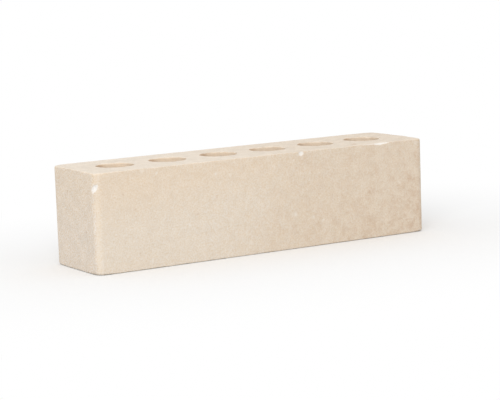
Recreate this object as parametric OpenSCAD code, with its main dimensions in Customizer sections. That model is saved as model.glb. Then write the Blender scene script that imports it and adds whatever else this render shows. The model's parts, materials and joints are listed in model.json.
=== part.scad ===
// Perforated facing brick: one unit of fired clay, pushed through a die and cut by wire.
// Lengths are in millimetres. X runs along the stretcher face, Y from the facing side at -Y
// to the back, and Z up through the holes. The origin is the middle of the bottom bed.

/* [Brick] */
// Length of the stretcher face
brick_length = 250; // [230:1:300]
// Width of the header face, from the facing side to the back
brick_width = 60; // [50:1:90]
// Height between the two wire-cut beds
brick_height = 64; // [50:1:90]
// Radius of the four upright arrises, which the corners of the die leave
arris_radius = 5; // [3:0.5:8]
// Bevel rubbed off the wire-cut edges of both beds
bed_bevel = 0.8; // [0.4:0.1:1.5]

/* [Holes] */
// Number of round holes in the row
hole_count = 6; // [3:1:7]
// Diameter of each hole
hole_diameter = 24; // [14:1:26]
// Clay between each end of the brick and the nearest hole
end_wall = 18; // [15:0.5:24]

/* [Chips] */
// Distance from the top bed down to the chip on the front left arris
corner_chip_drop = 10.5; // [5:0.5:20]
// Depth of that chip
corner_chip_depth = 1.1; // [0.5:0.1:2]
// Distance from the left end of the brick to the small nick in the front top edge
nick_place = 152; // [20:0.5:170]
// Depth of the nick into the facing side
nick_depth = 1; // [0.5:0.1:1.5]
// Distance from the left end to the middle of the long flake off the front top edge
flake_place = 210; // [180:1:215]
// Depth of the flake, square to the edge
flake_depth = 1.3; // [0.8:0.1:2]

/* [Hidden] */
$fn = 96;
// Room by which a cut runs past the face that it opens
past = 1;
clay = [0.87, 0.81, 0.73];
// Radii of the bowl-shaped breaks: the two chips, and the long shallow flake
chip_bowl = 3.2;
flake_bowl = 75;
// Way that the corner chip faces on the arris, and how far below the bed the nick is centred
corner_chip_turn = 202;
nick_drop = 1.5;
half_length = brick_length / 2;
half_width = brick_width / 2;
hole_pitch = (brick_length - 2 * end_wall - hole_diameter) / (hole_count - 1);
first_hole = -half_length + end_wall + hole_diameter / 2;

// Upright section of the brick with both pairs of bed edges bevelled, centred on the height's axis.
module bevelled_section(width) {
    edge = width / 2;
    polygon([
        [-edge + bed_bevel, 0], [edge - bed_bevel, 0],
        [edge, bed_bevel], [edge, brick_height - bed_bevel],
        [edge - bed_bevel, brick_height], [-edge + bed_bevel, brick_height],
        [-edge, brick_height - bed_bevel], [-edge, bed_bevel]
    ]);
}

// The section pushed along X, between the centres of the end arrises.
module stretcher_slab() {
    slab = brick_length - 2 * arris_radius;
    rotate([90, 0, 90])
        linear_extrude(slab, center = true)
            bevelled_section(brick_width);
}

// The section pushed along Y, between the centres of the side arrises.
module header_slab() {
    slab = brick_width - 2 * arris_radius;
    rotate([90, 0, 0])
        linear_extrude(slab, center = true)
            bevelled_section(brick_length);
}

// One rounded upright arris, a full post with the same bevels at both beds.
module arris_post() {
    rotate_extrude()
        polygon([
            [0, 0], [arris_radius - bed_bevel, 0],
            [arris_radius, bed_bevel], [arris_radius, brick_height - bed_bevel],
            [arris_radius - bed_bevel, brick_height], [0, brick_height]
        ]);
}

module clay_body() {
    union() {
        stretcher_slab();
        header_slab();
        for (side_x = [-1, 1], side_y = [-1, 1])
            translate([side_x * (half_length - arris_radius), side_y * (half_width - arris_radius), 0])
                arris_post();
    }
}

// The row of round holes that the die's cores leave, from bed to bed.
module hole_row() {
    for (i = [0 : hole_count - 1])
        translate([first_hole + i * hole_pitch, 0, -past])
            cylinder(h = brick_height + 2 * past, d = hole_diameter);
}

// Bowl-shaped break on the rounded arris between the facing side and the left header.
module corner_chip() {
    out = arris_radius + chip_bowl - corner_chip_depth;
    translate([-half_length + arris_radius, -half_width + arris_radius, brick_height - corner_chip_drop])
        rotate([0, 0, corner_chip_turn])
            translate([out, 0, 0])
                sphere(chip_bowl);
}

// Small nick in the facing side, just under the front top edge.
module edge_nick() {
    out = chip_bowl - nick_depth;
    translate([-half_length + nick_place, -half_width - out, brick_height - nick_drop])
        sphere(chip_bowl);
}

// Long shallow flake off the front top edge, broken away at 45 degrees.
module edge_flake() {
    out = (flake_bowl - flake_depth) / sqrt(2);
    translate([-half_length + flake_place, -half_width - out, brick_height + out])
        sphere(flake_bowl);
}

module brick() {
    color(clay)
        difference() {
            clay_body();
            hole_row();
            corner_chip();
            edge_nick();
            edge_flake();
        }
}

brick();
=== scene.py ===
import json
import math

import bpy
from mathutils import Matrix, Vector, noise
from mathutils.geometry import delaunay_2d_cdt


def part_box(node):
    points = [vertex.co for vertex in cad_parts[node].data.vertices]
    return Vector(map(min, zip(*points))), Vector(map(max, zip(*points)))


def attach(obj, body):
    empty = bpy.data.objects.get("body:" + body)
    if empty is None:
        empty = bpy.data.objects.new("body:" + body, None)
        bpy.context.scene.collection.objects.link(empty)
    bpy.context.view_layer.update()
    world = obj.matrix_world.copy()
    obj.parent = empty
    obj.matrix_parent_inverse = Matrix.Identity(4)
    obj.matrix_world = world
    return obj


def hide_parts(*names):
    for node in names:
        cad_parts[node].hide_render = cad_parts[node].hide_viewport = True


# One perforated facing brick in cream fired clay, alone on a pale studio floor.
# The mesh is worked out in millimetres and scaled to metres as it is made.

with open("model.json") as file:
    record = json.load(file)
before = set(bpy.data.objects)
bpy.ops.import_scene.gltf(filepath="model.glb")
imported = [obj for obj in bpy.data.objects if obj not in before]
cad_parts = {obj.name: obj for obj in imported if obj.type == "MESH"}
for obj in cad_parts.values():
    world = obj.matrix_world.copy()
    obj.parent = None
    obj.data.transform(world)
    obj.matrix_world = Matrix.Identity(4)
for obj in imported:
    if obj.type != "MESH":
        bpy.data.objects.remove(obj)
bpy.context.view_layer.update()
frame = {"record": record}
print("frame loaded")

# How the clay was formed and handled, in mm
brick = {
    "arrisRadius": 5.0,           # upright arrises, from the corners of the die
    "edgeRounding": (0.3, 0.9),   # least and most rounding of the wire-cut edges
    "edgeWaves": (11.0, 2.6),     # long and short waves in that rounding
    "cornerDroop": 1.0,           # more rounding where an arris meets a bed
    "droopReach": 3.5,            # and how far along the edge it fades out
    "lipRounding": (0.4, 1.3),    # least and most rounding of the hole mouths
    "lipWave": (3.1, 9.0),        # wave in that rounding, drawn round a circle of this radius
    "bow": 0.22,                  # drying bow of the long faces
    "edgeBlend": 1.2,             # the relief of a face fades out this far past its edge
    "lipBlend": 1.0,              # and the relief of a hole's wall this far past its mouth
    "rub": 0.12,                  # how pale the edges are rubbed, and how far in
    "rubReach": 1.5,
    "rubWave": 7.0,               # and how it comes and goes along an edge
}

# The steel of the die leaves upright streaks, soft swells and a few pits on the faces.
# In the three kinds of marks, rest is how deep the skin lies between them, as a share of depth.
# The other shares say how much a mark adds, and stretch draws it out the way the clay moved.
dieMarks = {
    "depth": 0.10,
    "rest": 0.5,
    "streak": 2.2, "streakShare": 0.15, "stretch": 0.12,
    "swell": 9.0, "swellShare": 0.5,
    "pit": 1.9, "pitLevel": 0.42, "pitShare": 2.2,
}

# The wire tears the beds and drags the clay across, from the facing side to the back
wireMarks = {
    "depth": 0.36,
    "rest": 0.45,
    "skew": 0.10,                 # slant of the drag lines from straight across
    "line": (1.6, 26.0),          # width and length of a drag line
    "tear": (3.0, 5.5),           # and of a torn patch
    "pit": (2.1, 2.7),            # and of a pit
    "pitLevel": 0.34,
    "lineShare": 0.3, "tearShare": 0.3, "pitShare": 1.7,
    "chatter": (0.62, 0.06),      # pitch and height of the ripples as the wire jumps
    "burrReach": 3.5,             # the rim stays raised this far in from where the wire came out
    "burrStart": 0.25,            # share of that way that is already passed at the very edge
}

# The core drags the walls of a hole lengthways
coreMarks = {
    "depth": 0.24,
    "rest": 0.5,
    "line": 2.4, "lineRadius": 14.0, "stretch": 0.1,    # width, on a circle of this radius
    "swell": 4.0, "swellShare": 0.5,
}

# Mesh spacing, finer on the facing side, on the left header and up to the top bed
spacing = {
    "front": 0.75, "left": 0.75, "right": 1.3, "back": 1.3, "arris": 0.72, "farArris": 1.0,
    "rise": 1.1, "topRise": 0.62, "topBand": 14.0,
    "topBed": 1.3, "bottomBed": 1.8, "bore": 1.4, "aroundBore": 64,
}
edgeRings = [0, 0.25, 0.55, 0.9, 1.3, 1.8, 2.5]    # rings that carry the rounded edges
lipRings = [0, 0.3, 0.7, 1.3]                      # rings round each hole's mouth

# Breaks, each knocked out by a bowl of that radius that went so deep, in mm.
# turn is in degrees from the right end, and bare is how pale the clay shows there.
chips = [
    {"on": "arris", "turn": 200, "down": 10.6, "bowl": 2.7, "deep": 0.75, "bare": 0.9},
    {"on": "arris", "turn": 216, "down": 9.4, "bowl": 2.8, "deep": 0.95, "bare": 1.0},
    {"on": "arris", "turn": 232, "down": 8.3, "bowl": 2.3, "deep": 0.5, "bare": 0.85},
    {"on": "face", "along": 151.3, "down": 1.3, "bowl": 3.2, "deep": 0.95, "bare": 0.85},
    {"on": "edge", "along": 206.0, "bowl": 75.0, "deep": 0.8, "bare": 0.5},
    {"on": "edge", "along": 214.5, "bowl": 36.0, "deep": 1.2, "bare": 0.85},
    {"on": "edge", "along": 11.0, "bowl": 12.0, "deep": 0.6, "bare": 0.3},
]
breakSkin = {"ragged": 0.28, "grain": 1.6, "feather": 0.35}    # the clay is bare once this deep

# Grains big enough to be seen: along from the left end, then up from the floor
# or in from the facing side, then how wide
limeGrains = [(145.6, 23.2, 2.2), (159.6, 19.6, 1.6), (86.2, 55.4, 1.6), (65.8, 24.8, 1.6),
              (38.3, 5.4, 1.7), (167.5, 17.0, 1.6), (43.5, 60.2, 1.5)]
ironGrains = [(27.5, 38.9, 1.6), (86.6, 40.6, 1.6), (71.9, 31.2, 1.8), (204.3, 31.7, 2.4),
              (224.8, 39.2, 2.2)]
bedGrains = [(199.1, 8.4, 3.6)]
grainMarks = {"lime": 0.5, "bedPit": 0.5, "bedTint": 3.5}    # paleness, pit in mm, brownness

# Painted shade: a hole's left side, which faces away from the soft box, is painted browner; degrees round the
# hole
paintedBoreShade = {"strength": 1.8, "from": 88.0, "rise": 28.0, "to": 250.0, "fall": 60.0}

# Painted sheen: how much paler the ends and arrises are painted, at the front and at the back,
# and where it fades out; degrees from the end of the brick
arrisPaintedSheen = {"front": 0.5, "back": 0.25, "from": 40.0, "fall": 40.0}

boxLow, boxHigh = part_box("brick")
length, width, height = [(high - low) * 1000 for low, high in zip(boxLow, boxHigh)]
holes = [(m["pos_m"][0] * 1000, m["pos_m"][1] * 1000, m["dims"]["r_mm"])
         for m in frame["record"]["mounts"] if m["kind"] == "bore"]
endX, sideY = length / 2, width / 2


def smooth(t):
    t = max(0.0, min(1.0, t))
    return t * t * (3 - 2 * t)


# Uneven wave of a given size. A number that is added to the place only keeps two waves apart.
def wave(x, y, z, size, octaves=2):
    return noise.fractal(Vector((x / size, y / size, z / size)), 1.0, 2.0, octaves)


def straightRun(start, end, outward, step):
    count = max(1, round((end - start).length / step))
    return [(start.lerp(end, i / count), outward) for i in range(count)]


def arrisRun(centre, firstAngle, step):
    radius = brick["arrisRadius"]
    count = max(3, round(radius * math.pi / 2 / step))
    run = []
    for i in range(count):
        turn = math.radians(firstAngle + 90 * i / count)
        outward = Vector((math.cos(turn), math.sin(turn)))
        run.append((centre + outward * radius, outward))
    return run


# The brick's plan, as points with the way each faces, from the left end of the facing side
def brickOutline():
    r, x, y = brick["arrisRadius"], endX, sideY
    near, far = spacing["arris"], spacing["farArris"]
    return (straightRun(Vector((-x + r, -y)), Vector((x - r, -y)), Vector((0, -1)), spacing["front"])
            + arrisRun(Vector((x - r, -y + r)), -90, far)
            + straightRun(Vector((x, -y + r)), Vector((x, y - r)), Vector((1, 0)), spacing["right"])
            + arrisRun(Vector((x - r, y - r)), 0, far)
            + straightRun(Vector((x - r, y)), Vector((-x + r, y)), Vector((0, 1)), spacing["back"])
            + arrisRun(Vector((-x + r, y - r)), 90, far)
            + straightRun(Vector((-x, y - r)), Vector((-x, -y + r)), Vector((-1, 0)), spacing["left"])
            + arrisRun(Vector((-x + r, -y + r)), 180, near))


def riseLevels():
    low, band, high = edgeRings[-1], height - spacing["topBand"], height - edgeRings[-1]
    coarse = round((band - low) / spacing["rise"])
    fine = round((high - band) / spacing["topRise"])
    return (edgeRings
            + [low + (band - low) * i / coarse for i in range(1, coarse + 1)]
            + [band + (high - band) * i / fine for i in range(1, fine)]
            + [height - s for s in reversed(edgeRings)])


# How far a point moves along each face when the edge between them is rounded;
# u and v are its depths under the two faces
def roundEdge(u, v, radius):
    if u >= radius or v >= radius:
        return 0.0, 0.0
    du, dv = radius - u, radius - v
    away = math.hypot(du, dv)
    if away <= radius:
        return 0.0, 0.0
    k = radius / away
    return du - du * k, dv - dv * k


def chipCentre(chip):
    out = chip["bowl"] - chip["deep"]
    r = brick["arrisRadius"]
    if chip["on"] == "arris":
        turn = math.radians(chip["turn"])
        reach = r + out
        return Vector((-endX + r + reach * math.cos(turn), -sideY + r + reach * math.sin(turn),
                       height - chip["down"]))
    if chip["on"] == "face":
        return Vector((-endX + chip["along"], -sideY - out, height - chip["down"]))
    slant = out / math.sqrt(2)      # an edge breaks away at 45 degrees
    return Vector((-endX + chip["along"], -sideY - slant, height + slant))


chipBowls = [(chipCentre(chip), chip["bowl"], chip["bare"]) for chip in chips]


# Moves a point out of every bowl that holds it, and says how bare the clay is there
def knockChips(p):
    fresh = 0.0
    for centre, bowl, bare in chipBowls:
        away = p - centre
        if away.length > bowl + 2 * breakSkin["ragged"]:
            continue
        reach = bowl + breakSkin["ragged"] * wave(p.x + 31, p.y, p.z, breakSkin["grain"], 2)
        if away.length < reach:
            depth = reach - away.length
            p = centre + away.normalized() * reach
            fresh = max(fresh, bare * min(1.0, depth / breakSkin["feather"]))
    return p, fresh


# Depth of the torn, dragged skin of a bed; side is 1 on the top bed and -1 below
def bedRelief(x, y, side):
    across = x + wireMarks["skew"] * y
    lineWidth, lineLength = wireMarks["line"]
    tearWidth, tearLength = wireMarks["tear"]
    pitWidth, pitLength = wireMarks["pit"]
    pitch, ripple = wireMarks["chatter"]
    lines = noise.fractal(Vector((across / lineWidth, y / lineLength, side * 9.0)), 1.0, 2.0, 3)
    torn = noise.fractal(Vector((across / tearWidth, y / tearLength, side * 5.0 + 3)), 1.0, 2.0, 3)
    chatter = math.sin(y / pitch + 2.0 * wave(x, 0, side * 7, 30, 1)) * ripple
    pit = noise.noise(Vector((x / pitWidth, y / pitLength, side * 4.0)))
    pits = max(0.0, pit - wireMarks["pitLevel"]) * wireMarks["pitShare"]
    marks = wireMarks["rest"] + wireMarks["lineShare"] * lines + wireMarks["tearShare"] * torn
    depth = wireMarks["depth"] * (marks + chatter + pits)
    return max(0.0, depth) * smooth((sideY - y) / wireMarks["burrReach"] + wireMarks["burrStart"])


def faceRelief(p):
    lines = wave(p.x, p.y, p.z * dieMarks["stretch"], dieMarks["streak"])
    soft = wave(p.x, p.y, p.z, dieMarks["swell"], 3)
    pit = wave(p.x + 50, p.y, p.z, dieMarks["pit"], 1)
    pits = max(0.0, pit - dieMarks["pitLevel"]) * dieMarks["pitShare"]
    marks = dieMarks["rest"] + dieMarks["streakShare"] * lines + dieMarks["swellShare"] * soft
    return max(0.0, dieMarks["depth"] * (marks + pits))


def edgeRadiusAt(x, y, z):
    least, most = brick["edgeRounding"]
    long, short = brick["edgeWaves"]
    side = 1.0 if z > height / 2 else -1.0
    worn = 0.5 + 0.5 * wave(x, y, side * 40, long, 3) + 0.35 * wave(x, y, side * 70, short, 2)
    r = brick["arrisRadius"]
    toArris = math.hypot(max(0.0, endX - r - abs(x)), max(0.0, sideY - r - abs(y)))
    droop = brick["cornerDroop"] * math.exp(-toArris / brick["droopReach"])
    return least + (most - least) * min(1.4, max(0.0, worn)) + droop


# Painted sheen: an end and its arrises are painted paler, most on the front arrises.
# It fades out round the arris before the long face, and the back arrises get less of it.
def paintedArrisSheen(outward):
    turn = math.degrees(math.atan2(abs(outward.y), abs(outward.x)))
    strength = arrisPaintedSheen["front"] if outward.y < 0 else arrisPaintedSheen["back"]
    return strength * (1 - smooth((turn - arrisPaintedSheen["from"]) / arrisPaintedSheen["fall"]))


# 1 in the middle of a grain, a half at its rim and 0 a little further out
def grainAmount(grains, along, over):
    most = 0.0
    for grainAlong, grainOver, size in grains:
        away = math.hypot(along - grainAlong, over - grainOver)
        most = max(most, smooth(1.5 - 2 * away / size))
    return most


# Which finish a face of the mesh takes
longSkin, bedSkin, boreSkin, endSkin = range(4)


class ClayMesh:
    def __init__(self):
        self.points, self.faces, self.finishes = [], [], []
        # pale holds the painted sheen of the ends and arrises and the rubbed edges, iron the iron grains and
        # the painted shade inside the holes
        self.fresh, self.pale, self.iron = [], [], []

    def add(self, point, fresh=0.0, pale=0.0, iron=0.0):
        self.points.append(point)
        self.fresh.append(fresh)
        self.pale.append(pale)
        self.iron.append(iron)
        return len(self.points) - 1

    def face(self, corners, finish):
        self.faces.append(corners)
        self.finishes.append(finish)

    # a band of faces between two rings; turned flips them to face the other way
    def band(self, ring, nextRing, finish, turned=False):
        for i in range(len(ring)):
            j = (i + 1) % len(ring)
            corners = (ring[i], ring[j], nextRing[j], nextRing[i])
            self.face(corners[::-1] if turned else corners, finish)


# One point of the outer skin (inset 0) or of a bed's edge rings, with its tints
def skinPoint(base, outward, inset, z):
    depth = min(z, height - z)
    up = 1 if z > height / 2 else -1
    x, y = base.x - outward.x * inset, base.y - outward.y * inset
    p = Vector((x, y, z))
    du, dv = roundEdge(inset, depth, edgeRadiusAt(base.x, base.y, z))
    onSide = max(0.0, 1 - inset / brick["edgeBlend"])
    onBed = max(0.0, 1 - depth / brick["edgeBlend"])
    bowed = brick["bow"] * (1 - (2 * base.x / length) ** 2) if abs(outward.y) > 0.5 else 0.0
    sink = (faceRelief(p) + bowed) * onSide
    p.x -= outward.x * (du + sink)
    p.y -= outward.y * (du + sink)
    p.z -= up * (dv + bedRelief(x, y, up) * onBed)
    p, fresh = knockChips(p)
    facing = 1.0 if outward.y < -0.5 else 0.0
    fresh = max(fresh, grainMarks["lime"] * facing * grainAmount(limeGrains, p.x + endX, p.z))
    nearEdge = smooth(1 - max(inset, depth) / brick["rubReach"])
    rubbed = brick["rub"] * nearEdge * smooth(0.5 + 1.2 * wave(x, y, up * 30, brick["rubWave"], 2))
    # painted sheen on the ends and arrises; rubbed is the real wear of the edges
    pale = paintedArrisSheen(outward) * smooth(1 - inset / brick["edgeBlend"])
    return p, fresh, max(pale, rubbed), facing * grainAmount(ironGrains, p.x + endX, p.z)


# One point of a hole's wall (outset 0), or of the rings round its mouth
def borePoint(hole, turn, outset, z):
    x0, y0, radius = hole
    depth = min(z, height - z)
    up = 1 if z > height / 2 else -1
    outward = Vector((math.cos(turn), math.sin(turn)))
    least, most = brick["lipRounding"]
    size, around = brick["lipWave"]
    # the wire meets the clay again at the back of a hole and wears that rim rounder
    ragged = wave(x0 + outward.x * around, outward.y * around, up * 20, size, 3)
    worn = max(0.0, 0.3 + 0.4 * outward.y + ragged)
    du, dv = roundEdge(outset, depth, least + (most - least) * min(1.0, worn))
    onWall = max(0.0, 1 - outset / brick["lipBlend"])
    onBed = max(0.0, 1 - depth / brick["lipBlend"])
    around = coreMarks["lineRadius"]
    stretched = z * coreMarks["stretch"]
    lines = wave(x0 + outward.x * around, outward.y * around, stretched, coreMarks["line"], 3)
    soft = wave(x0 + outward.x * radius, outward.y * radius, z, coreMarks["swell"], 3)
    marks = lines + coreMarks["swellShare"] * soft
    drag = coreMarks["depth"] * max(0.0, coreMarks["rest"] + marks)
    r = radius + outset + du + drag * onWall
    x, y = x0 + outward.x * r, y0 + outward.y * r
    return Vector((x, y, z - up * (dv + bedRelief(x, y, up) * onBed)))


# Painted shade on a hole's wall at this turn round the hole
def paintedBoreShadeAt(turn):
    facing = math.degrees(turn)
    into = smooth((facing - paintedBoreShade["from"]) / paintedBoreShade["rise"])
    outOf = smooth((paintedBoreShade["to"] - facing) / paintedBoreShade["fall"])
    return paintedBoreShade["strength"] * into * outOf


# Walls of the holes with their rounded mouths; gives back the outer ring of each mouth
def makeBores(clay):
    around = spacing["aroundBore"]
    turns = [math.tau * k / around for k in range(around)]
    paintedShades = [paintedBoreShadeAt(turn) for turn in turns]
    low, high = lipRings[-1], height - lipRings[-1]
    count = round((high - low) / spacing["bore"])
    levels = lipRings + [low + (high - low) * i / count for i in range(1, count)]
    levels += [height - s for s in reversed(lipRings)]
    mouths = {"bottom": [], "top": []}
    for hole in holes:
        # the iron tint on a hole's wall is painted shade
        walls = [[clay.add(borePoint(hole, turn, 0.0, z), iron=tint) for turn, tint in zip(turns, paintedShades)]
                 for z in levels]
        for lower, upper in zip(walls, walls[1:]):
            clay.band(lower, upper, boreSkin, turned=True)
        for bed, wall, z in (("bottom", walls[0], 0.0), ("top", walls[-1], height)):
            inner = wall
            for outset in lipRings[1:]:
                outer = [clay.add(borePoint(hole, turn, outset, z)) for turn in turns]
                clay.band(inner, outer, bedSkin, turned=bed == "top")
                inner = outer
            mouths[bed].append(inner)
    return mouths


# Points of a triangular grid over a bed, each shifted a little so that no rows show
def bedGrid(step):
    rows = int(width / (step * math.sqrt(3) / 2))
    for row in range(rows):
        for k in range(int(length / step) + 1):
            y = -sideY + (row + 0.5) * width / rows
            x = -endX + (k + 0.5 * (row % 2)) * step
            x += 0.25 * step * noise.noise(Vector((x, y, 11)))
            y += 0.25 * step * noise.noise(Vector((x, y, 23)))
            yield x, y


# Even triangles between a bed's edge rings and the mouths of the holes
def fillBed(clay, rim, mouths, bed):
    step = spacing[bed + "Bed"]
    up, level = (1, height) if bed == "top" else (-1, 0.0)
    indices, flat, edges = [], [], []
    for loop in [rim] + mouths:
        first = len(indices)
        for k, index in enumerate(loop):
            indices.append(index)
            flat.append(Vector(clay.points[index][:2]))
            edges.append((first + k, first + (k + 1) % len(loop)))
    r, clear = brick["arrisRadius"], 0.55 * step    # about half a step keeps the triangles even
    margin = edgeRings[-1] + clear
    for x, y in bedGrid(step):
        inX, inY = endX - abs(x), sideY - abs(y)
        inArris = inX < r and inY < r and math.hypot(r - inX, r - inY) > r - margin
        inHole = any(math.hypot(x - hx, y - hy) < hr + lipRings[-1] + clear for hx, hy, hr in holes)
        if min(inX, inY) < margin or inArris or inHole:
            continue
        iron = grainAmount(bedGrains, x + endX, y + sideY) if bed == "top" else 0.0
        sunk = bedRelief(x, y, up) + grainMarks["bedPit"] * iron
        p, fresh = knockChips(Vector((x, y, level - up * sunk)))
        indices.append(clay.add(p, fresh, iron=grainMarks["bedTint"] * iron))
        flat.append(Vector((x, y)))
    made = delaunay_2d_cdt(flat, edges, [], 1, 1e-5)
    source = [group[0] for group in made[3]]
    for corners in made[2]:
        corners = [source[i] for i in corners]
        middle = sum((flat[i] for i in corners), Vector((0, 0))) / 3
        if any((middle - Vector((hx, hy))).length < hr + 0.7 * lipRings[-1] for hx, hy, hr in holes):
            continue
        corners = [indices[i] for i in corners]
        clay.face(corners if up > 0 else corners[::-1], bedSkin)


def shapeBrick():
    clay = ClayMesh()
    outline = brickOutline()
    rings = [[clay.add(*skinPoint(base, outward, 0.0, z)) for base, outward in outline]
             for z in riseLevels()]
    for lower, upper in zip(rings, rings[1:]):
        clay.band(lower, upper, longSkin)
    mouths = makeBores(clay)
    print("skin and holes:", len(clay.points), "points")
    for bed, ring, z in (("bottom", rings[0], 0.0), ("top", rings[-1], height)):
        outer = ring
        for inset in edgeRings[1:]:
            inner = [clay.add(*skinPoint(base, outward, inset, z)) for base, outward in outline]
            clay.band(outer, inner, bedSkin, turned=bed == "bottom")
            outer = inner
        fillBed(clay, outer, mouths[bed], bed)
    return clay


def linear(hexColour):
    parts = [int(hexColour[i:i + 2], 16) / 255 for i in (1, 3, 5)]
    return [c / 12.92 if c <= 0.04045 else ((c + 0.055) / 1.055) ** 2.4 for c in parts] + [1.0]


def perMetre(mm):
    return 1000.0 / mm


def addNode(tree, kind, settings=None, links=None):
    node = tree.nodes.new("ShaderNode" + kind)
    for key, value in (settings or {}).items():
        if isinstance(key, int) or key in node.inputs:
            node.inputs[key].default_value = value
        else:
            setattr(node, key, value)
    for key, source in (links or {}).items():
        tree.links.new(source, node.inputs[key])
    return node


# Buff-burning clay with a little sand: cream, and browner towards the end that met more fire
clayTones = {
    "cream": "#E3D6C5",
    "warm": "#E3D2BD",
    "fired": "#DFCFBB",
    "iron": "#B68A62",       # iron in the clay, brown where it bleeds out; also the painted shade inside the holes
    "lime": "#F7F1E8",       # white grains
    "pale": "#F5E6CF",       # painted sheen of the ends and arrises, and rubbed skin
    "broken": "#F0ECE6",     # fresh break
}
clayPatterns = {
    "cloud": 60.0,           # mm, drift of the kiln's colour
    "mottle": 6.5,           # mm, iron bleeding through the skin
    "blend": 6.0,            # mm, unevenly mixed body
    "sand": 1.0,             # mm, really about 0.4 mm, drawn coarser so that it shows
    "ironCell": 5.0,         # mm between iron specks
    "limeCell": 7.0,         # mm between white grains
    "sandHeight": 0.4,       # mm, how far the sand stands out, coarser than real as well
}
# Specks: their widest radius and soft edge in cell widths, and the share of cells that hold one
speckSizes = {"radius": 0.24, "edge": 0.1, "ironCell": 0.45, "limeCell": 0.35}
# Which tone each tint of the mesh brings in, and how much of it
# the pale tone brings in painted sheen with rubbed skin, the iron tone iron grains with painted shade inside
# the holes
meshTints = {"paintedSheenAndRubbedSkin": ("pale", 0.3), "ironGrainAndPaintedShade": ("iron", 0.22), "freshBreak": ("broken", 1.0)}
goldenSand = (0.5, 1.0, 1.8)    # a grain changes the blue most and the red least

# Where the colour changes, browner where the kiln's fire reached and warmer up the brick, in m from the
# middle of the brick or up from the floor
kiln = {
    "browning": (0.0, 0.10),          # along the brick, cream to brown
    "browningDrift": 0.10,            # how far a cloud carries that change
    "warming": (0.04, 0.08),          # up the brick, cream to warm
    "warmingDrift": 0.04,
    "corner": (0.02, 0.11),           # towards the low corner at the brown end
    "cornerMottle": (0.8, 1.9),       # where the iron mottle is thickest
    "paleMottle": 0.3,                # its share that is left at the pale end
    "patches": (0.44, 0.70),          # level of its noise where a patch starts and is full
}


# Warmer towards the top and browner from the middle on, both with a slow drift
def kilnColour(tree, place, axes, finish):
    cloud = addNode(tree, "TexNoise", {"Scale": perMetre(clayPatterns["cloud"]), "Detail": 2.0},
                    {"Vector": place})
    along = addNode(tree, "Math", {"operation": "MULTIPLY_ADD", 1: kiln["browningDrift"]},
                    {0: cloud.outputs["Fac"], 2: axes.outputs["X"]})
    upward = addNode(tree, "Math", {"operation": "MULTIPLY_ADD", 1: kiln["warmingDrift"]},
                     {0: cloud.outputs["Fac"], 2: axes.outputs["Z"]})
    start, end = kiln["browning"]
    fire = addNode(tree, "MapRange",
                   {"interpolation_type": "SMOOTHSTEP", "From Min": start, "From Max": end},
                   {"Value": along.outputs[0]})
    start, end = kiln["warming"]
    warmth = addNode(tree, "MapRange",
                     {"interpolation_type": "SMOOTHSTEP", "From Min": start, "From Max": end},
                     {"Value": upward.outputs[0]})
    toasted = addNode(tree, "Math", {"operation": "MULTIPLY", 1: finish["kiln"]}, {0: fire.outputs[0]})
    warmed = addNode(tree, "Math", {"operation": "MULTIPLY", 1: finish["kiln"]}, {0: warmth.outputs[0]})
    body = addNode(tree, "Mix",
                   {"data_type": "RGBA", 6: linear(finish["tone"]), 7: linear(clayTones["warm"])},
                   {"Factor": warmed.outputs[0]})
    body = addNode(tree, "Mix", {"data_type": "RGBA", 7: linear(clayTones["fired"])},
                   {"Factor": toasted.outputs[0], 6: body.outputs[2]})
    return body.outputs[2], fire.outputs[0]


# Iron mottle: faint at the pale end, thick at the brown end and thickest in its low corner
def ironMottle(tree, place, axes, colour, fire, finish):
    bleed = addNode(tree, "TexNoise",
                    {"Scale": perMetre(clayPatterns["mottle"]), "Detail": 5.0, "Roughness": 0.8},
                    {"Vector": place})
    start, end = kiln["patches"]
    patches = addNode(tree, "MapRange", {"From Min": start, "From Max": end},
                      {"Value": bleed.outputs["Fac"]})
    thick = addNode(tree, "MapRange",
                    {"To Min": kiln["paleMottle"] * finish["mottle"], "To Max": finish["mottle"]},
                    {"Value": fire})
    fall = addNode(tree, "Math", {"operation": "SUBTRACT"}, {0: axes.outputs["X"], 1: axes.outputs["Z"]})
    start, end = kiln["corner"]
    least, most = kiln["cornerMottle"]
    corner = addNode(tree, "MapRange",
                     {"From Min": start, "From Max": end, "To Min": least, "To Max": most},
                     {"Value": fall.outputs[0]})
    thicker = addNode(tree, "Math", {"operation": "MULTIPLY"},
                      {0: corner.outputs[0], 1: thick.outputs[0]})
    mottle = addNode(tree, "Math", {"operation": "MULTIPLY"},
                     {0: patches.outputs[0], 1: thicker.outputs[0]})
    stained = addNode(tree, "Mix", {"data_type": "RGBA", 7: linear(clayTones["iron"])},
                      {"Factor": mottle.outputs[0], 6: colour})
    return stained.outputs[2]


# Mixing makes the body lighter or darker; a dark grain of sand is golden as well.
# The two ranges that are read from hold nearly all that such a noise gives.
def mixedBody(tree, place, colour, sand, finish):
    blend = addNode(tree, "TexNoise", {"Scale": perMetre(clayPatterns["blend"]), "Detail": 2.0},
                    {"Vector": place})
    uneven = addNode(tree, "MapRange",
                     {"From Min": 0.3, "From Max": 0.7,
                      "To Min": 1 - finish["blend"], "To Max": 1 + finish["blend"]},
                     {"Value": blend.outputs["Fac"]})
    mixed = addNode(tree, "VectorMath", {"operation": "SCALE"}, {0: colour, "Scale": uneven.outputs[0]})
    grain = addNode(tree, "MapRange",
                    {"From Min": 0.25, "From Max": 0.75, "To Min": -finish["sand"], "To Max": finish["sand"]},
                    {"Value": sand})
    sandTint = addNode(tree, "VectorMath", {"operation": "MULTIPLY_ADD", 1: goldenSand, 2: (1, 1, 1)},
                       {0: grain.outputs[0]})
    sandy = addNode(tree, "VectorMath", {"operation": "MULTIPLY"},
                    {0: mixed.outputs[0], 1: sandTint.outputs[0]})
    return sandy.outputs[0]


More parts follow.
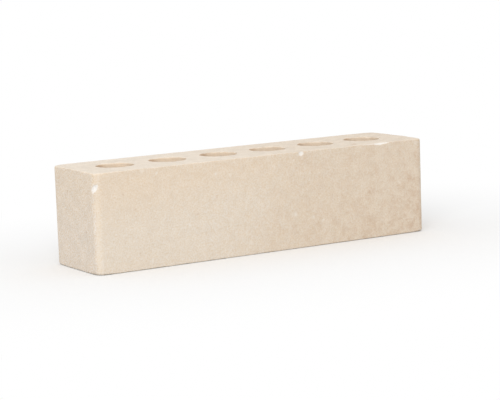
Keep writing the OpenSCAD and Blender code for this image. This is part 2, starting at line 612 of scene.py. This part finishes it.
# Specks with soft edges in some of the cells, each of its own size and strength
def specks(tree, place, colour, cell, tone, amount):
    cells = addNode(tree, "TexVoronoi", {"Scale": perMetre(clayPatterns[cell])}, {"Vector": place})
    pick = addNode(tree, "SeparateColor", {}, {"Color": cells.outputs["Color"]})
    size = addNode(tree, "MapRange",
                   {"From Min": 1 - speckSizes[cell], "From Max": 1.0,
                    "To Min": 0.0, "To Max": speckSizes["radius"]},
                   {"Value": pick.outputs["Red"]})
    inside = addNode(tree, "Math", {"operation": "SUBTRACT"},
                     {0: size.outputs[0], 1: cells.outputs["Distance"]})
    soft = addNode(tree, "MapRange",
                   {"From Min": 0.0, "From Max": speckSizes["edge"], "To Max": amount},
                   {"Value": inside.outputs[0]})
    speck = addNode(tree, "Math", {"operation": "MULTIPLY"},
                    {0: soft.outputs[0], 1: pick.outputs["Green"]})
    mixed = addNode(tree, "Mix", {"data_type": "RGBA", 7: linear(clayTones[tone])},
                    {"Factor": speck.outputs[0], 6: colour})
    return mixed.outputs[2]


# What each point of the mesh carries: painted sheen with rubbed skin, a grain of iron, painted shade inside a
# hole, or a fresh break
def meshTint(tree, colour, tint, tone, amount):
    known = addNode(tree, "Attribute", {"attribute_name": tint})
    share = addNode(tree, "Math", {"operation": "MULTIPLY", 1: amount}, {0: known.outputs["Fac"]})
    mixed = addNode(tree, "Mix", {"data_type": "RGBA", 7: linear(clayTones[tone])},
                    {"Factor": share.outputs[0], 6: colour})
    return mixed.outputs[2]


def firedClay(name, finish):
    material = bpy.data.materials.new(name)
    material.use_nodes = True
    tree = material.node_tree
    tree.nodes.clear()
    place = addNode(tree, "TexCoord").outputs["Object"]
    axes = addNode(tree, "SeparateXYZ", {}, {"Vector": place})
    grit = addNode(tree, "TexNoise",
                   {"Scale": perMetre(clayPatterns["sand"]), "Detail": 2.0, "Roughness": 0.7},
                   {"Vector": place})
    sand = grit.outputs["Fac"]
    colour, fire = kilnColour(tree, place, axes, finish)
    colour = ironMottle(tree, place, axes, colour, fire, finish)
    colour = mixedBody(tree, place, colour, sand, finish)
    colour = specks(tree, place, colour, "ironCell", "iron", finish["iron"])
    colour = specks(tree, place, colour, "limeCell", "lime", finish["lime"])
    for tint, (tone, amount) in meshTints.items():
        colour = meshTint(tree, colour, tint, tone, amount)
    bump = addNode(tree, "Bump",
                   {"Strength": finish["bump"], "Distance": clayPatterns["sandHeight"] / 1000},
                   {"Height": sand})
    surface = addNode(tree, "BsdfPrincipled",
                      {"Roughness": finish["roughness"], "IOR": 1.5, "Specular IOR Level": 0.3},
                      {"Base Color": colour, "Normal": bump.outputs["Normal"]})
    addNode(tree, "OutputMaterial", {}, {"Surface": surface.outputs[0]})
    return material


# die skin: smoothed by the steel of the die, so fine, even and matt
dieSkin = firedClay("firedClayDieSkin", {
    "tone": clayTones["cream"], "kiln": 1.0, "mottle": 0.24, "blend": 0.02, "sand": 0.12,
    "iron": 0.2, "lime": 0.25, "bump": 0.5, "roughness": 0.9})
# header skin, on both ends: the same skin, greyer and with more sand, so grainier
headerSkin = firedClay("firedClayHeaderSkin", {
    "tone": "#E2D5C6", "kiln": 0.6, "mottle": 0.20, "blend": 0.05, "sand": 0.26,
    "iron": 0.3, "lime": 0.5, "bump": 0.5, "roughness": 0.92})
# wire-cut bed: torn open by the wire, so paler, greyer and coarser
wireCut = firedClay("firedClayWireCut", {
    "tone": "#EBE1D4", "kiln": 0.3, "mottle": 0.14, "blend": 0.045, "sand": 0.07,
    "iron": 0.3, "lime": 0.5, "bump": 0.6, "roughness": 0.95})
# cored hole: dragged by the core and never weathered, so clean and even
coredBore = firedClay("firedClayCoredBore", {
    "tone": "#EAD7BF", "kiln": 0.5, "mottle": 0.12, "blend": 0.03, "sand": 0.05,
    "iron": 0.25, "lime": 0.3, "bump": 0.5, "roughness": 0.92})
print("clay finishes ready")


def makeBrick():
    clay = shapeBrick()
    mesh = bpy.data.meshes.new("facingBrick")
    mesh.from_pydata([p * 0.001 for p in clay.points], [], clay.faces)
    mesh.validate()
    for material in (dieSkin, wireCut, coredBore, headerSkin):    # in the order of the finishes
        mesh.materials.append(material)
    mesh.polygons.foreach_set("material_index", clay.finishes)
    mesh.polygons.foreach_set("use_smooth", [True] * len(mesh.polygons))
    for face in mesh.polygons:
        if face.material_index == longSkin and abs(face.normal.x) > 0.8:
            face.material_index = endSkin
    for tint, values in (("paintedSheenAndRubbedSkin", clay.pale), ("ironGrainAndPaintedShade", clay.iron), ("freshBreak", clay.fresh)):
        mesh.attributes.new(tint, "FLOAT", "POINT").data.foreach_set("value", values)
    mesh.update()
    facingBrick = bpy.data.objects.new("facingBrick", mesh)
    bpy.context.scene.collection.objects.link(facingBrick)
    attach(facingBrick, "root")
    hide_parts("brick")
    triangles = sum(len(p.vertices) - 2 for p in mesh.polygons)
    print("brick:", len(mesh.vertices), "vertices,", triangles, "triangles")


makeBrick()

# Soft studio: a white room and one broad soft box that faces the front left arris.
# The lamp's level is how brightly it lights a white card that faces it at the brick, where 1 shows white.
studio = {
    "floorColour": "#F7F7F7",
    "floorBounce": "#CBCBCB",     # the floor gives the brick less light than it shows
    "floorSize": 6.0,             # m
    "shadowReach": (0.02, 0.22),  # m from the brick, where the floor turns to plain white
    "skyLevel": 0.88,
}
softBox = {
    "turn": 232.0,                # degrees round from the right end of the brick
    "rise": 24.0,                 # degrees above the floor
    "distance": 3.0,              # m
    "size": 1.8,                  # m
    "level": 0.405,
}


def makeFloor():
    half = studio["floorSize"] / 2
    corners = [(-half, -half, 0), (half, -half, 0), (half, half, 0), (-half, half, 0)]
    flat = bpy.data.meshes.new("studioFloor")
    flat.from_pydata(corners, [], [(0, 1, 2, 3)])
    flat.materials.append(paperSheet())
    floor = bpy.data.objects.new("studioFloor", flat)
    bpy.context.scene.collection.objects.link(floor)


# paper sheet: matt and pale, keeps the brick's shadow and turns to plain white away from it
def paperSheet():
    paper = bpy.data.materials.new("paperFloor")
    paper.use_nodes = True
    tree = paper.node_tree
    tree.nodes.clear()
    path = addNode(tree, "LightPath")
    card = addNode(tree, "Mix",
                   {"data_type": "RGBA", 6: linear(studio["floorBounce"]), 7: linear(studio["floorColour"])},
                   {"Factor": path.outputs["Is Camera Ray"]})
    sheet = addNode(tree, "BsdfDiffuse", {}, {"Color": card.outputs[2]})
    white = addNode(tree, "Emission", {"Color": (1, 1, 1, 1), "Strength": 1.0})
    # distance from the brick's footprint
    place = addNode(tree, "TexCoord").outputs["Object"]
    folded = addNode(tree, "VectorMath", {"operation": "ABSOLUTE"}, {0: place})
    past = addNode(tree, "VectorMath", {"operation": "SUBTRACT", 1: (endX / 1000, sideY / 1000, 0)},
                   {0: folded.outputs[0]})
    outside = addNode(tree, "VectorMath", {"operation": "MAXIMUM", 1: (0, 0, 0)}, {0: past.outputs[0]})
    away = addNode(tree, "VectorMath", {"operation": "LENGTH"}, {0: outside.outputs[0]})
    near, far = studio["shadowReach"]
    fade = addNode(tree, "MapRange",
                   {"interpolation_type": "SMOOTHSTEP", "From Min": near, "From Max": far},
                   {"Value": away.outputs["Value"]})
    seen = addNode(tree, "Math", {"operation": "MULTIPLY"},
                   {0: fade.outputs[0], 1: path.outputs["Is Camera Ray"]})
    mixed = addNode(tree, "MixShader", {},
                    {0: seen.outputs[0], 1: sheet.outputs[0], 2: white.outputs[0]})
    addNode(tree, "OutputMaterial", {}, {"Surface": mixed.outputs[0]})
    return paper


def makeSky():
    world = bpy.data.worlds.new("studioWhite")
    world.use_nodes = True
    tree = world.node_tree
    tree.nodes.clear()
    soft = addNode(tree, "Background", {"Color": (1, 1, 1, 1), "Strength": studio["skyLevel"]})
    white = addNode(tree, "Background", {"Color": (1, 1, 1, 1), "Strength": 1.0})
    path = addNode(tree, "LightPath")
    mixed = addNode(tree, "MixShader", {},
                    {0: path.outputs["Is Camera Ray"], 1: soft.outputs[0], 2: white.outputs[0]})
    addNode(tree, "OutputWorld", {}, {"Surface": mixed.outputs[0]})
    bpy.context.scene.world = world


def makeSoftBox():
    turn, rise = math.radians(softBox["turn"]), math.radians(softBox["rise"])
    aim = Vector((0, 0, height / 2000))
    away = Vector((math.cos(turn) * math.cos(rise), math.sin(turn) * math.cos(rise), math.sin(rise)))
    lamp = bpy.data.lights.new("softBox", "AREA")
    lamp.size = softBox["size"]
    lamp.energy = softBox["level"] * (math.pi * softBox["distance"]) ** 2
    holder = bpy.data.objects.new("softBox", lamp)
    holder.location = aim + away * softBox["distance"]
    holder.rotation_euler = (-away).to_track_quat("-Z", "Y").to_euler()
    bpy.context.scene.collection.objects.link(holder)


makeFloor()
makeSky()
makeSoftBox()
print("studio ready")

# Camera at the photograph's angle, turned to the middle of the brick, with a longer lens
view = {
    "place": (-0.6267, -1.0432, 0.2059),    # m
    "aim": (0.004, 0.0, 0.031),
    "roll": -2.06,                          # degrees, the right side of the picture hangs lower
    "lens": 133.6,                          # mm, on a 36 mm sensor
}


def makeCamera():
    data = bpy.data.cameras.new("camera")
    data.lens = view["lens"]
    data.sensor_width = 36.0
    camera = bpy.data.objects.new("camera", data)
    bpy.context.scene.collection.objects.link(camera)
    camera.location = view["place"]
    aimed = (Vector(view["aim"]) - Vector(view["place"])).to_track_quat("-Z", "Y").to_matrix()
    camera.rotation_euler = (aimed @ Matrix.Rotation(math.radians(view["roll"]), 3, "Z")).to_euler()
    bpy.context.scene.camera = camera


makeCamera()
bpy.context.scene.view_settings.view_transform = "Standard"
